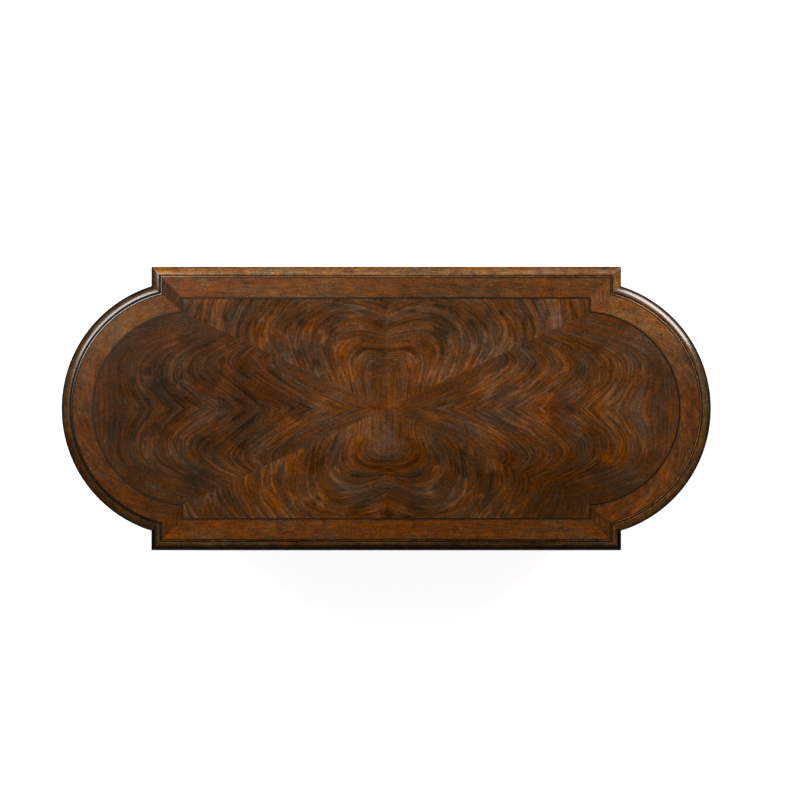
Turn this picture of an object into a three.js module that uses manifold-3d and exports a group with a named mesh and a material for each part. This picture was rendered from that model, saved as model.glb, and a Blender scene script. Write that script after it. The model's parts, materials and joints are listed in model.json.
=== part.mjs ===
// A mahogany pedestal desk whose top has a straight middle and two round ends, after the plan that
// the pedestals below it follow. Three drawers in each pedestal and one over the kneehole slide out
// to the front. Millimetres, +Z up, the origin on the floor under the middle, the front towards -Y.
import * as THREE from "three";
import { mergeVertices } from "three/addons/utils/BufferGeometryUtils.js";
import Module from "manifold-3d";

const wasm = await Module();
wasm.setup();

// Overall sizes
const deskHeight = 775;
const topLength = 1830; // tip to tip of the round ends
const topDepth = 800; // front to back of the straight middle
const centreLength = 1324; // the straight middle, between the round ends
const stepDepth = 55; // how far the middle stands out past each round end, front and back
const overhang = 30; // of the top past the pedestals
const kneeholeWidth = 560; // between the pedestals

// The top: solid edging round a core, with veneer on it
const topThickness = 34;
const veneerThickness = 1;
const borderWidth = 56; // the crossbanded border
const lineWidth = 4; // the dark line inside the border

// The edging's section, from the veneer outwards and down
const lipWidth = 4; // level with the veneer
const arrisWidth = 3; // of the lip's rounded edge
const arrisHeight = 1.2;
const stepDrop = 2; // down from the veneer to the crown of the nosing
const quirkWidth = 2; // the narrow groove beside the nosing
const quirkDepth = 2.5; // of the groove below the crown
const nosingShoulder = 5; // over which the nosing rises out of the groove
const nosingWidth = 26;
const nosingCrownSlope = 12; // degrees from level where the nosing's curve starts
const nosingRimSlope = 46; // and where it ends
const nosingFlat = 10; // the upright edge under the nosing
const coveStep = 3; // how far the edging steps in above its cove
const coveWidth = 7;
const coveFillet = 2; // the flat under the cove

// The pedestals
const plinthHeight = 90;
const plinthProjection = 14; // past the body
const plinthWall = 34; // from its outer face to its inner face
const plinthMouldHeight = 14; // the hollow moulding along its top edge
const plinthFillet = 2;
const baseThickness = 20; // the board between plinth and body
const sideThickness = 20;
const frameThickness = 20; // the face frame and the back
const topRailHeight = 22;
const railHeight = 18; // the rails, and the dustboards level with them
const upperOpening = 110; // heights of the drawer openings; the lowest takes what is left
const middleOpening = 150;
const backStile = 42; // frame round the sunk fields of the back
const fieldSink = 6; // how deep those fields are sunk
const modestySetback = 20; // of the panel behind the knees, from the pedestals' backs
const modestyClearance = 150; // between that panel and the floor

// The round ends: a bent frame with a bent panel let into the back of it
const endFrameThickness = 20;
const endStile = 46;
const endFoot = 42; // height of the bottom rail
const panelRecess = 10; // how far the panel lies behind the frame's face
const panelThickness = 6;
const panelTongue = 8; // how far the panel reaches behind the frame
const fitGap = 0.3; // between pieces that are let into each other

// The drawers
const reveal = 2; // round each drawer front
const beadWidth = 3; // the bead along the edges of each front
const beadHeight = 1.5;
const boxWall = 12; // sides and back of the box
const boxBottom = 6;
const bottomRise = 10; // of the bottom above the lower edges of the sides
const sideClearance = 3; // between the box and the sides of the pedestal
const runningClearance = 0.4; // under the sides of the box
const headroom = 12; // above the sides of the box
const rearSpace = 160; // between the box and the back of the desk
const tailLength = 12; // of the dovetails let into the front
const tailPitch = 48; // about how far apart they stand
const tailNeckShare = 0.6; // of the pitch, the narrow part of a tail
const tailSpread = 1 / 7; // slope of a tail's flanks
const stopLength = 30; // the blocks that the fronts close against
const stopDepth = 14;
const stopHeight = 5;
const stopInset = 30; // from the sides of the opening

// The knobs
const knobRadius = 13;
const knobProjection = 26;
const knobThickness = 12;
const neckRadius = 5;
const roseRadius = 11;
const roseThickness = 3;
const spigotRadius = 4;
const spigotLength = 14;
const knobSpacingShare = 0.56; // of the wide front, between its two knobs

const overrun = 5; // of every cutter past what it cuts
const endSteps = 30; // facets along a round end
const turningSteps = 12; // facets round a knob

// Levels and depths that several pieces share
const underside = deskHeight - topThickness;
const coreTop = deskHeight - veneerThickness;
const edgingWidth = nosingWidth + quirkWidth + lipWidth;
const borderInset = edgingWidth + borderWidth;
const fieldInset = borderInset + lineWidth;
const bodyBottom = plinthHeight + baseThickness;
const upperHigh = underside - topRailHeight;
const upperLow = upperHigh - upperOpening;
const middleHigh = upperLow - railHeight;
const middleLow = middleHigh - middleOpening;
const lowerHigh = middleLow - railHeight;
const kneeHalf = kneeholeWidth / 2;
const bodyHalfLength = centreLength / 2 - overhang;
const bodyHalfDepth = topDepth / 2 - overhang;
const innerHalfDepth = bodyHalfDepth - frameThickness;

// Each round end is an arc through the two steps and the tip of the top.
const endRise = (topLength - centreLength) / 2;
const endHalfChord = topDepth / 2 - stepDepth;
const endRadius = (endHalfChord ** 2 + endRise ** 2) / (2 * endRise);
const endCentre = topLength / 2 - endRadius;

const looks = {
  mahogany: { color: 0x5f371c, roughness: 0.35, metalness: 0 },
  border: { color: 0x6a4024, roughness: 0.32, metalness: 0 },
  figured: { color: 0x51300f, roughness: 0.3, metalness: 0 },
  line: { color: 0x17110d, roughness: 0.35, metalness: 0 },
  core: { color: 0xa98558, roughness: 0.8, metalness: 0 },
  lining: { color: 0xb08d5e, roughness: 0.6, metalness: 0 },
  brass: { color: 0xb08a46, roughness: 0.3, metalness: 1 },
};

function piece(name, geometry, look) {
  const mesh = new THREE.Mesh(geometry, new THREE.MeshStandardMaterial(look));
  mesh.name = name;
  return mesh;
}

// Solids for joining and cutting

function solidOf(geometry) {
  const bare = geometry.clone();
  bare.deleteAttribute("normal");
  bare.deleteAttribute("uv");
  const merged = mergeVertices(bare);
  const vertProperties = merged.attributes.position.array;
  const triVerts = Uint32Array.from(merged.index.array);
  return new wasm.Manifold(new wasm.Mesh({ numProp: 3, vertProperties, triVerts }));
}

function geometryOf(solid) {
  const mesh = solid.getMesh();
  const geometry = new THREE.BufferGeometry();
  geometry.setAttribute("position", new THREE.BufferAttribute(mesh.vertProperties, 3));
  geometry.setIndex(new THREE.BufferAttribute(mesh.triVerts, 1));
  const flat = geometry.toNonIndexed();
  flat.computeVertexNormals();
  return flat;
}

function join(first, ...others) {
  return geometryOf(others.reduce((whole, other) => whole.add(solidOf(other)), solidOf(first)));
}

function cut(stock, ...tools) {
  return geometryOf(tools.reduce((left, tool) => left.subtract(solidOf(tool)), solidOf(stock)));
}

// A board between two planes along each axis, with its faces exactly on them.
function board([left, right], [front, back], [low, high]) {
  const geometry = new THREE.BoxGeometry(1, 1, 1);
  const place = geometry.attributes.position;
  for (let i = 0; i < place.count; i += 1) {
    const x = place.getX(i) < 0 ? left : right;
    const y = place.getY(i) < 0 ? front : back;
    place.setXYZ(i, x, y, place.getZ(i) < 0 ? low : high);
  }
  return geometry;
}

// An outline of Vector2 points carried from one level to another.
function slab(outline, low, high) {
  const geometry = new THREE.ExtrudeGeometry(new THREE.Shape(outline), { depth: 1, bevelEnabled: false });
  const place = geometry.attributes.position;
  for (let i = 0; i < place.count; i += 1) place.setZ(i, place.getZ(i) > 0 ? high : low);
  return geometry;
}

// The same for an outline of [y, z] points, carried along X.
function sideways(outline, left, right) {
  const geometry = slab(outline.map(([y, z]) => new THREE.Vector2(y, z)), left, right);
  const toSide = new THREE.Matrix4().makeBasis(
    new THREE.Vector3(0, 1, 0),
    new THREE.Vector3(0, 0, 1),
    new THREE.Vector3(1, 0, 0),
  );
  return geometry.applyMatrix4(toSide);
}

// Points of an elliptical arc, from one angle to another in degrees.
function arc([x, y], [radiusX, radiusY], from, to, steps) {
  return Array.from({ length: steps + 1 }, (_, i) => {
    const angle = THREE.MathUtils.degToRad(from + ((to - from) * i) / steps);
    return [x + radiusX * Math.cos(angle), y + radiusY * Math.sin(angle)];
  });
}

// Plans. Each gives the same number of corners, anticlockwise, at any inset from its outer line.

// The part of a circle round the end's centre that lies beyond an upright plane across the desk,
// and no further to the front and back than a depth.
function roundEnd(radius, plane, depth) {
  const meets = Math.acos((plane - endCentre) / radius);
  const half = radius * Math.sin(meets) > depth ? Math.asin(depth / radius) : meets;
  return Array.from({ length: endSteps + 1 }, (_, i) => {
    const angle = -half + (2 * half * i) / endSteps;
    return new THREE.Vector2(endCentre + radius * Math.cos(angle), radius * Math.sin(angle));
  });
}

// Corner 0 is the front right one, then the right end, the back's two, the left end, the front left.
function topPlan(inset) {
  const halfLength = centreLength / 2 - inset;
  const halfDepth = topDepth / 2 - inset;
  const right = roundEnd(endRadius - inset, halfLength, halfDepth);
  return [
    new THREE.Vector2(halfLength, -halfDepth),
    ...right,
    new THREE.Vector2(halfLength, halfDepth),
    new THREE.Vector2(-halfLength, halfDepth),
    ...right.map((p) => new THREE.Vector2(-p.x, -p.y)),
    new THREE.Vector2(-halfLength, -halfDepth),
  ];
}
const rightEndFrom = 1;
const rightEndTo = rightEndFrom + endSteps;
const leftEndFrom = rightEndTo + 3;
const leftEndTo = leftEndFrom + endSteps;

// The right-hand pedestal's plan. The left one mirrors it.
function pedestalPlan(inset) {
  const inner = kneeHalf + inset;
  const outer = bodyHalfLength - inset;
  const halfDepth = bodyHalfDepth - inset;
  return [
    new THREE.Vector2(inner, -halfDepth),
    new THREE.Vector2(outer, -halfDepth),
    ...roundEnd(endRadius - overhang - inset, outer, halfDepth),
    new THREE.Vector2(outer, halfDepth),
    new THREE.Vector2(inner, halfDepth),
  ];
}

// Carries a section of [inset, height] points, anticlockwise as seen with the inset to the right,
// along a plan: all the way round, or from one corner of the plan to another with its ends closed.
function moulding(plan, section, from, to) {
  const lines = section.map(([inset]) => plan(inset));
  const corners = lines[0].length;
  const round = from === undefined;
  const first = round ? 0 : from;
  const spans = round ? corners : (to - from + corners) % corners;
  const stations = round ? corners : spans + 1;
  const size = section.length;
  const positions = [];
  for (let i = 0; i < stations; i += 1) {
    section.forEach(([, height], j) => {
      const point = lines[j][(first + i) % corners];
      positions.push(point.x, point.y, height);
    });
  }
  const index = [];
  for (let i = 0; i < spans; i += 1) {
    const here = i * size;
    const there = ((i + 1) % stations) * size;
    for (let j = 0; j < size; j += 1) {
      const k = (j + 1) % size;
      index.push(here + j, here + k, there + k, here + j, there + k, there + j);
    }
  }
  if (!round) {
    const outline = section.map(([inset, height]) => new THREE.Vector2(inset, height));
    const last = spans * size;
    THREE.ShapeUtils.triangulateShape(outline, []).forEach(([a, b, c]) => {
      index.push(a, c, b, last + a, last + b, last + c);
    });
  }
  const geometry = new THREE.BufferGeometry();
  geometry.setAttribute("position", new THREE.Float32BufferAttribute(positions, 3));
  geometry.setIndex(index);
  const flat = geometry.toNonIndexed();
  flat.computeVertexNormals();
  return flat;
}

function rectangle(inset, depth, low, high) {
  return [
    [inset, low],
    [inset + depth, low],
    [inset + depth, high],
    [inset, high],
  ];
}

// The top

function edgingSection() {
  const crown = deskHeight - stepDrop;
  const quirk = crown - quirkDepth;
  const coveLow = underside + coveFillet;
  const shoulder = nosingWidth - nosingShoulder;
  const crownSlope = THREE.MathUtils.degToRad(nosingCrownSlope);
  const rimSlope = THREE.MathUtils.degToRad(nosingRimSlope);
  const radius = shoulder / (Math.sin(rimSlope) - Math.sin(crownSlope));
  const nosingCentre = [radius * Math.sin(rimSlope), crown - radius * Math.cos(crownSlope)];
  const rim = crown - radius * (Math.cos(crownSlope) - Math.cos(rimSlope));
  const coveHigh = rim - nosingFlat;
  const lip = nosingWidth + quirkWidth;
  return [
    [coveStep + coveWidth, underside],
    [edgingWidth, underside],
    [edgingWidth, deskHeight],
    ...arc([lip + arrisWidth, deskHeight - arrisHeight], [arrisWidth, arrisHeight], 90, 180, 2),
    [lip, quirk],
    ...arc([shoulder, quirk], [nosingShoulder, quirkDepth], 0, 90, 3),
    ...arc(nosingCentre, [radius, radius], 90 + nosingCrownSlope, 90 + nosingRimSlope, 6).slice(1, -1),
    [0, rim],
    [0, coveHigh],
    ...arc([coveStep, coveLow], [coveWidth, coveHigh - coveLow], 90, 0, 3),
  ];
}

function edging() {
  const section = edgingSection();
  return [
    piece("edging_right_end", moulding(topPlan, section, rightEndFrom, rightEndTo), looks.mahogany),
    piece("edging_back", moulding(topPlan, section, rightEndTo, leftEndFrom), looks.mahogany),
    piece("edging_left_end", moulding(topPlan, section, leftEndFrom, leftEndTo), looks.mahogany),
    piece("edging_front", moulding(topPlan, section, leftEndTo, rightEndFrom), looks.mahogany),
  ];
}

function border() {
  const section = rectangle(edgingWidth, borderWidth, coreTop, deskHeight);
  const line = rectangle(borderInset, lineWidth, coreTop, deskHeight);
  return [
    piece("border_right_end", moulding(topPlan, section, rightEndFrom, rightEndTo), looks.border),
    piece("border_back", moulding(topPlan, section, rightEndTo, leftEndFrom), looks.border),
    piece("border_left_end", moulding(topPlan, section, leftEndFrom, leftEndTo), looks.border),
    piece("border_front", moulding(topPlan, section, leftEndTo, rightEndFrom), looks.border),
    piece("inlay_line", moulding(topPlan, line), looks.line),
  ];
}

// The middle is four wedges of veneer that meet in the centre, cut from corner to corner.
function fieldVeneer() {
  const line = topPlan(fieldInset);
  const wedge = (name, corners) =>
    piece(name, slab([new THREE.Vector2(0, 0), ...corners], coreTop, deskHeight), looks.figured);
  return [
    wedge("field_right", line.slice(rightEndFrom, rightEndTo + 1)),
    wedge("field_back", line.slice(rightEndTo, leftEndFrom + 1)),
    wedge("field_left", line.slice(leftEndFrom, leftEndTo + 1)),
    wedge("field_front", [line[leftEndTo], line.at(-1), line[0], line[rightEndFrom]]),
  ];
}

function top() {
  const core = slab(topPlan(edgingWidth), underside, coreTop);
  return new THREE.Group().add(
    piece("top_core", core, looks.core),
    ...edging(),
    ...border(),
    ...fieldVeneer(),
  );
}

// The pedestals

function plinth() {
  const cove = plinthProjection - plinthFillet - plinthFillet;
  const coveHigh = plinthHeight - plinthFillet;
  const section = [
    [-plinthProjection, 0],
    [plinthWall - plinthProjection, 0],
    [plinthWall - plinthProjection, plinthHeight],
    [-plinthFillet, plinthHeight],
    ...arc([-plinthFillet - cove, coveHigh], [cove, plinthMouldHeight], 0, -90, 5),
    [-plinthProjection, coveHigh - plinthMouldHeight],
  ];
  return moulding(pedestalPlan, section);
}

// The two blocks at the front of a board that a drawer closes against.
function stops(left, right, level) {
  const depths = [-innerHalfDepth + fitGap, -innerHalfDepth + fitGap + stopDepth];
  const heights = [level - stopHeight, level + stopHeight];
  return [
    board([left + stopInset, left + stopInset + stopLength], depths, heights),
    board([right - stopInset - stopLength, right - stopInset], depths, heights),
  ];
}

const bayInner = kneeHalf + sideThickness;
const bayOuter = bodyHalfLength - sideThickness;

function baseBoard() {
  const whole = slab(pedestalPlan(0), plinthHeight, bodyBottom);
  return join(whole, ...stops(bayInner, bayOuter, bodyBottom));
}

function dustboard([left, right], front, back, high) {
  const panel = board([left, right], [front, back], [high - railHeight, high]);
  return join(panel, ...stops(left, right, high));
}

function faceFrame() {
  const depths = [-bodyHalfDepth, -innerHalfDepth];
  const through = [-bodyHalfDepth - overrun, -innerHalfDepth + overrun];
  const frame = board([kneeHalf, bodyHalfLength], depths, [bodyBottom, underside]);
  return cut(
    frame,
    board([bayInner, bayOuter], through, [upperLow, upperHigh]),
    board([bayInner, bayOuter], through, [middleLow, middleHigh]),
    board([bayInner, bayOuter], through, [bodyBottom - overrun, lowerHigh]),
  );
}

// A framed board with two sunk fields on its back, level with the drawers' rails.
function framedBoard([left, right], [front, back], low, foot) {
  const sunk = [back - fieldSink, back + overrun];
  const fields = [left + backStile, right - backStile];
  return cut(
    board([left, right], [front, back], [low, underside]),
    board(fields, sunk, [upperLow, upperHigh]),
    board(fields, sunk, [foot, middleHigh]),
  );
}

// A bent piece of the round end, between two radii and two angles either side of the end's middle.
function bent(outer, inner, half, low, high) {
  const along = (radius, from, to) =>
    arc([endCentre, 0], [radius, radius], from, to, endSteps).map(([x, y]) => new THREE.Vector2(x, y));
  return slab([...along(outer, -half, half), ...along(inner, half, -half)], low, high);
}

const endOuter = endRadius - overhang;
const endInner = endOuter - endFrameThickness;
const panelOuter = endOuter - panelRecess;
const endPlane = bodyHalfLength + fitGap;
const endHalfAngle = THREE.MathUtils.radToDeg(Math.acos((endPlane - endCentre) / endOuter));
const degreesPerLength = THREE.MathUtils.radToDeg(1 / endOuter);
const openingHalfAngle = endHalfAngle - endStile * degreesPerLength;
const endOpeningLow = bodyBottom + endFoot;

function endFrame() {
  const wall = slab(
    [
      ...roundEnd(endOuter, endPlane, bodyHalfDepth),
      ...roundEnd(endInner, endPlane, bodyHalfDepth).reverse(),
    ],
    bodyBottom,
    underside,
  );
  const tongue = panelTongue + fitGap;
  const seatHalf = openingHalfAngle + tongue * degreesPerLength;
  const through = [endOuter + overrun, endInner - overrun, openingHalfAngle];
  return cut(
    wall,
    bent(...through, upperLow, upperHigh),
    bent(...through, endOpeningLow, middleHigh),
    bent(panelOuter + fitGap, endInner - overrun, seatHalf, endOpeningLow - tongue, upperHigh + tongue),
  );
}

function endPanel() {
  const half = openingHalfAngle + panelTongue * degreesPerLength;
  return bent(
    panelOuter,
    panelOuter - panelThickness,
    half,
    endOpeningLow - panelTongue,
    upperHigh + panelTongue,
  );
}

function pedestalBody(side) {
  const depths = [-innerHalfDepth, innerHalfDepth];
  const body = [bodyBottom, underside];
  const bay = [bayInner, bayOuter];
  const back = [innerHalfDepth, bodyHalfDepth];
  const boardAt = (high) => dustboard(bay, -innerHalfDepth, innerHalfDepth, high);
  return [
    piece(side + "_plinth", plinth(), looks.mahogany),
    piece(side + "_base_board", baseBoard(), looks.mahogany),
    piece(side + "_kneehole_side", board([kneeHalf, bayInner], depths, body), looks.mahogany),
    piece(side + "_outer_side", board([bayOuter, bodyHalfLength], depths, body), looks.mahogany),
    piece(side + "_face_frame", faceFrame(), looks.mahogany),
    piece(
      side + "_back_panel",
      framedBoard([kneeHalf, bodyHalfLength], back, bodyBottom, endOpeningLow),
      looks.mahogany,
    ),
    piece(side + "_upper_dustboard", boardAt(upperLow), looks.lining),
    piece(side + "_lower_dustboard", boardAt(middleLow), looks.lining),
    piece(side + "_end_frame", endFrame(), looks.mahogany),
    piece(side + "_end_panel", endPanel(), looks.figured),
  ];
}

// The drawers

// The outline of one dovetail in [y, z], grown by a gap, from behind the front's back to its tip.
function tail(middle, pitch, gap) {
  const neck = (pitch * tailNeckShare) / 2 + gap;
  const tip = neck + tailLength * tailSpread;
  const root = -innerHalfDepth + (gap ? overrun : boxWall);
  const end = -innerHalfDepth - tailLength - gap;
  return [
    [end, middle - tip],
    [-innerHalfDepth, middle - neck],
    [root, middle - neck],
    [root, middle + neck],
    [-innerHalfDepth, middle + neck],
    [end, middle + tip],
  ];
}

function tails(low, high, left, right, gap) {
  const count = Math.max(1, Math.round((high - low) / tailPitch));
  const pitch = (high - low) / count;
  return Array.from({ length: count }, (_, i) =>
    sideways(tail(low + pitch * (i + 1 / 2), pitch, gap), left, right),
  );
}

function knob(x, z) {
  const knobBack = -knobProjection + knobThickness;
  const profile = [
    [0, -knobProjection],
    ...arc([0, knobBack], [knobRadius, knobThickness], -90, 0, 3).slice(1),
    [neckRadius, (knobBack - roseThickness) / 2],
    [roseRadius, -roseThickness],
    [roseRadius, 0],
    [spigotRadius, 0],
    [spigotRadius, spigotLength],
    [0, spigotLength],
  ];
  const turned = new THREE.LatheGeometry(
    profile.map(([radius, y]) => new THREE.Vector2(radius, y)),
    turningSteps,
  );
  return turned.translate(x, -bodyHalfDepth - fitGap, z);
}

function knobHole(x, z) {
  const depth = spigotLength + fitGap;
  const hole = new THREE.CylinderGeometry(
    spigotRadius + fitGap,
    spigotRadius + fitGap,
    depth + overrun,
    turningSteps,
  );
  return hole.translate(x, -bodyHalfDepth + (depth - overrun) / 2, z);
}

function drawerFront(opening, tailRange, knobs) {
  const [left, right] = [opening.left + reveal, opening.right - reveal];
  const [low, high] = [opening.low + reveal, opening.high - reveal];
  const plank = board([left, right], [-bodyHalfDepth, -innerHalfDepth], [low, high]);
  const proud = [-bodyHalfDepth - beadHeight, -bodyHalfDepth + beadWidth];
  const bead = cut(
    board([left, right], proud, [low, high]),
    board(
      [left + beadWidth, right - beadWidth],
      [-bodyHalfDepth - overrun, -bodyHalfDepth + overrun],
      [low + beadWidth, high - beadWidth],
    ),
  );
  const wall = boxWall + sideClearance + fitGap;
  const sockets = [
    ...tails(...tailRange, left - overrun, opening.left + wall, fitGap),
    ...tails(...tailRange, opening.right - wall, right + overrun, fitGap),
  ];
  const holes = knobs.map(([x, z]) => knobHole(x, z));
  return cut(join(plank, bead), ...sockets, ...holes);
}

function drawerBox(opening, [low, high], tailRange) {
  const left = opening.left + sideClearance;
  const right = opening.right - sideClearance;
  const front = -innerHalfDepth;
  const back = innerHalfDepth - rearSpace;
  const bottom = low + bottomRise;
  const between = [left + boxWall / 2, right - boxWall / 2];
  return join(
    board([left, left + boxWall], [front, back], [low, high]),
    board([right - boxWall, right], [front, back], [low, high]),
    board(between, [back - boxWall, back], [bottom, high]),
    board(between, [front, back - boxWall / 2], [bottom, bottom + boxBottom]),
    ...tails(...tailRange, left, left + boxWall, 0),
    ...tails(...tailRange, right - boxWall, right, 0),
  );
}

function drawer(name, opening, knobNames) {
  const boxHeights = [opening.low + runningClearance, opening.high - headroom];
  const tailRange = [opening.low + reveal, boxHeights[1]];
  const middle = (opening.left + opening.right) / 2;
  const spread = knobNames.length > 1 ? (opening.right - opening.left) * knobSpacingShare : 0;
  const knobs = knobNames.map((_, i) => [
    middle + spread * (i - (knobNames.length - 1) / 2),
    (opening.low + opening.high) / 2,
  ]);
  return [
    piece(name + "_front", drawerFront(opening, tailRange, knobs), looks.figured),
    piece(name + "_box", drawerBox(opening, boxHeights, tailRange), looks.lining),
    ...knobs.map((place, i) => piece(knobNames[i], knob(...place), looks.brass)),
  ];
}

function pedestal(side) {
  const bay = { left: bayInner, right: bayOuter };
  const drawers = [
    ["upper", upperLow, upperHigh],
    ["middle", middleLow, middleHigh],
    ["lower", bodyBottom, lowerHigh],
  ].flatMap(([level, low, high]) => {
    const name = side + "_" + level + "_drawer";
    return drawer(name, { ...bay, low, high }, [name + "_knob"]);
  });
  const group = new THREE.Group().add(...pedestalBody(side), ...drawers);
  if (side === "left") group.scale.x = -1;
  return group;
}

// Between the pedestals

function centre() {
  const span = [-kneeHalf, kneeHalf];
  const modestyBack = bodyHalfDepth - modestySetback;
  const modesty = [modestyBack - frameThickness, modestyBack];
  const topRail = board(span, [-bodyHalfDepth, -innerHalfDepth], [upperHigh, underside]);
  const opening = { left: -kneeHalf, right: kneeHalf, low: upperLow, high: upperHigh };
  const modestyFoot = modestyClearance + endFoot;
  return new THREE.Group().add(
    piece("centre_top_rail", topRail, looks.mahogany),
    piece("centre_dustboard", dustboard(span, -bodyHalfDepth, modesty[0], upperLow), looks.mahogany),
    piece("modesty_panel", framedBoard(span, modesty, modestyClearance, modestyFoot), looks.mahogany),
    ...drawer("centre_drawer", opening, ["centre_drawer_left_knob", "centre_drawer_right_knob"]),
  );
}

const desk = new THREE.Group();
desk.name = "pedestal_desk";
desk.add(top(), pedestal("left"), pedestal("right"), centre());

export default desk;
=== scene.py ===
# The looks of a mahogany pedestal desk with round ends. The top is the piece that matters most: a
# moulded edging, a straight-grained border, a dark inlaid line and eight leaves of crotch veneer that
# mirror each other. Metres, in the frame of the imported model: the drawers face -Y and +Z is up.
import json
import math
import random

import bmesh
import bpy
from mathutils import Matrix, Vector

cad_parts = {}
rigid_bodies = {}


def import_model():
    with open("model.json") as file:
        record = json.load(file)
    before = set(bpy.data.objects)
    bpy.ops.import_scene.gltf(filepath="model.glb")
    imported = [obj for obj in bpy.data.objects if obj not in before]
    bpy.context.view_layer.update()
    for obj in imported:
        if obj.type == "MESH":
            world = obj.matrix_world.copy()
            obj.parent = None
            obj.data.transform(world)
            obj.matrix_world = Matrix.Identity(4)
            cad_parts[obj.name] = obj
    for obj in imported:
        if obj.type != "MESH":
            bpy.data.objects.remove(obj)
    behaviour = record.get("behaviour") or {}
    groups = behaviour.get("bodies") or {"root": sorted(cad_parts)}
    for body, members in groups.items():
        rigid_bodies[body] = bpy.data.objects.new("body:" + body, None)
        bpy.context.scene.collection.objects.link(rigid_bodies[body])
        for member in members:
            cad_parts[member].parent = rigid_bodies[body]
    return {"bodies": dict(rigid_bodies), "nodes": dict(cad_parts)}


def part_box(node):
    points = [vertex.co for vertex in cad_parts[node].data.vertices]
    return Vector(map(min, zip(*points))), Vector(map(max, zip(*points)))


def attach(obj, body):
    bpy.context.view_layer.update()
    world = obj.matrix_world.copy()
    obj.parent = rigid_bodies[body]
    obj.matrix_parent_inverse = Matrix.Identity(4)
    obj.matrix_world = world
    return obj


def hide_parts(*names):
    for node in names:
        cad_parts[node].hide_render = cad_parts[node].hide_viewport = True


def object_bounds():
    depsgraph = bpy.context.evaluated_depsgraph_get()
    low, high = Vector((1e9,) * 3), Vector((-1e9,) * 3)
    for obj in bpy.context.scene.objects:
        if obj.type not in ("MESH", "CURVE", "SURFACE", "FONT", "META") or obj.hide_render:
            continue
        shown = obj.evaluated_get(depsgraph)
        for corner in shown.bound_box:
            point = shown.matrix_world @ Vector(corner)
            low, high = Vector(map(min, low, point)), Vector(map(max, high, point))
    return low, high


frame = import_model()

cad_low, cad_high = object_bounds()
MM = 0.001
dice = random.Random(7)

# Sizes read from the frame
LENGTH = cad_high.x - cad_low.x
DEPTH = cad_high.y - cad_low.y
HEIGHT = cad_high.z
MIDDLE_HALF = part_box("edging_back")[1].x
END_HALF_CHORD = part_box("edging_right_end")[1].y
EDGING_WIDTH, BORDER_INSET, FIELD_INSET = (
    DEPTH / 2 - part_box(node)[1].y for node in ("border_back", "inlay_line", "field_back"))
UNDERSIDE, CORE_TOP = (p.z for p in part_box("top_core"))

END_RISE = LENGTH / 2 - MIDDLE_HALF
END_RADIUS = (END_HALF_CHORD**2 + END_RISE**2) / (2 * END_RISE)
END_CENTRE = LENGTH / 2 - END_RADIUS

KNEE_HALF, BAY_INNER = (p.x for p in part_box("right_kneehole_side"))
BAY_OUTER, BODY_OUTER = (p.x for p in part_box("right_outer_side"))
BODY_FRONT, BOX_FRONT = (p.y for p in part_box("right_face_frame"))
BODY_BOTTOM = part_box("right_face_frame")[0].z
BODY_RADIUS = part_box("right_end_frame")[1].x - END_CENTRE
END_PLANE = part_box("right_end_frame")[0].x
END_REACH = BODY_RADIUS * math.acos((END_PLANE - END_CENTRE) / BODY_RADIUS)
PLINTH_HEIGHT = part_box("right_plinth")[1].z
PLINTH_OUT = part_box("right_plinth")[1].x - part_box("right_end_frame")[1].x
STOP_HEIGHT = 5 * MM  # of a drawer stop, above its dustboard
UPPER_OPENING = (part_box("right_upper_dustboard")[1].z - STOP_HEIGHT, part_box("centre_top_rail")[0].z)
MIDDLE_OPENING = (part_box("right_lower_dustboard")[1].z - STOP_HEIGHT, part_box("right_upper_dustboard")[0].z)
LOWER_OPENING_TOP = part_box("right_lower_dustboard")[0].z

# Sizes that only the looks have
ARC_STEPS = 96
EASE = 0.7 * MM  # the softened arris of every board
WORN = 2 * MM  # how far from its point a mitre that stands out is rubbed round
WORN_POINT = 0.37 * WORN  # how far in the point itself goes
RAIL = 42 * MM  # the bottom rails, and the stiles of the straight frames
END_STILE = 46 * MM  # the stiles of the bent frames
END_FRAME = 20 * MM  # how thick the bent frames are
PANEL_SINK = 6 * MM  # from a straight frame's face to its panels


# Plans, anticlockwise. Each has the same corners at any inset from its outer line.

def round_end(radius, plane):
    """The part of a circle round the end's centre beyond an upright plane."""
    half = math.acos((plane - END_CENTRE) / radius)
    turns = [-half + 2 * half * i / ARC_STEPS for i in range(ARC_STEPS + 1)]
    return [Vector((END_CENTRE + radius * math.cos(a), radius * math.sin(a))) for a in turns]


def top_plan(inset):
    """Front right corner, right end, the back's two corners, left end, front left corner."""
    across, deep = MIDDLE_HALF - inset, DEPTH / 2 - inset
    half = [Vector((across, -deep))] + round_end(END_RADIUS - inset, across) + [Vector((across, deep))]
    return half + [-p for p in half]


def pedestal_plan(inset):
    """The right pedestal: inner front, outer front, round end, outer back, inner back."""
    inner, outer = KNEE_HALF + inset, BODY_OUTER - inset
    depth = -BODY_FRONT - inset
    front = [Vector((inner, -depth)), Vector((outer, -depth))]
    back = [Vector((outer, depth)), Vector((inner, depth))]
    return front + round_end(BODY_RADIUS - inset, outer) + back


# The last points of the round ends in the plans
RIGHT_LAST, LEFT_LAST = 1 + ARC_STEPS, 4 + 2 * ARC_STEPS
PEDESTAL_LAST = 2 + ARC_STEPS


# Building meshes

def shade(value):
    """A piece's own shift in brightness round 1."""
    return 1 + dice.uniform(-value, value)


def far():
    """Somewhere else in the wood, so that no two boards share their grain."""
    return Vector((dice.uniform(0, 40), dice.uniform(0, 40), dice.uniform(0, 40)))


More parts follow.
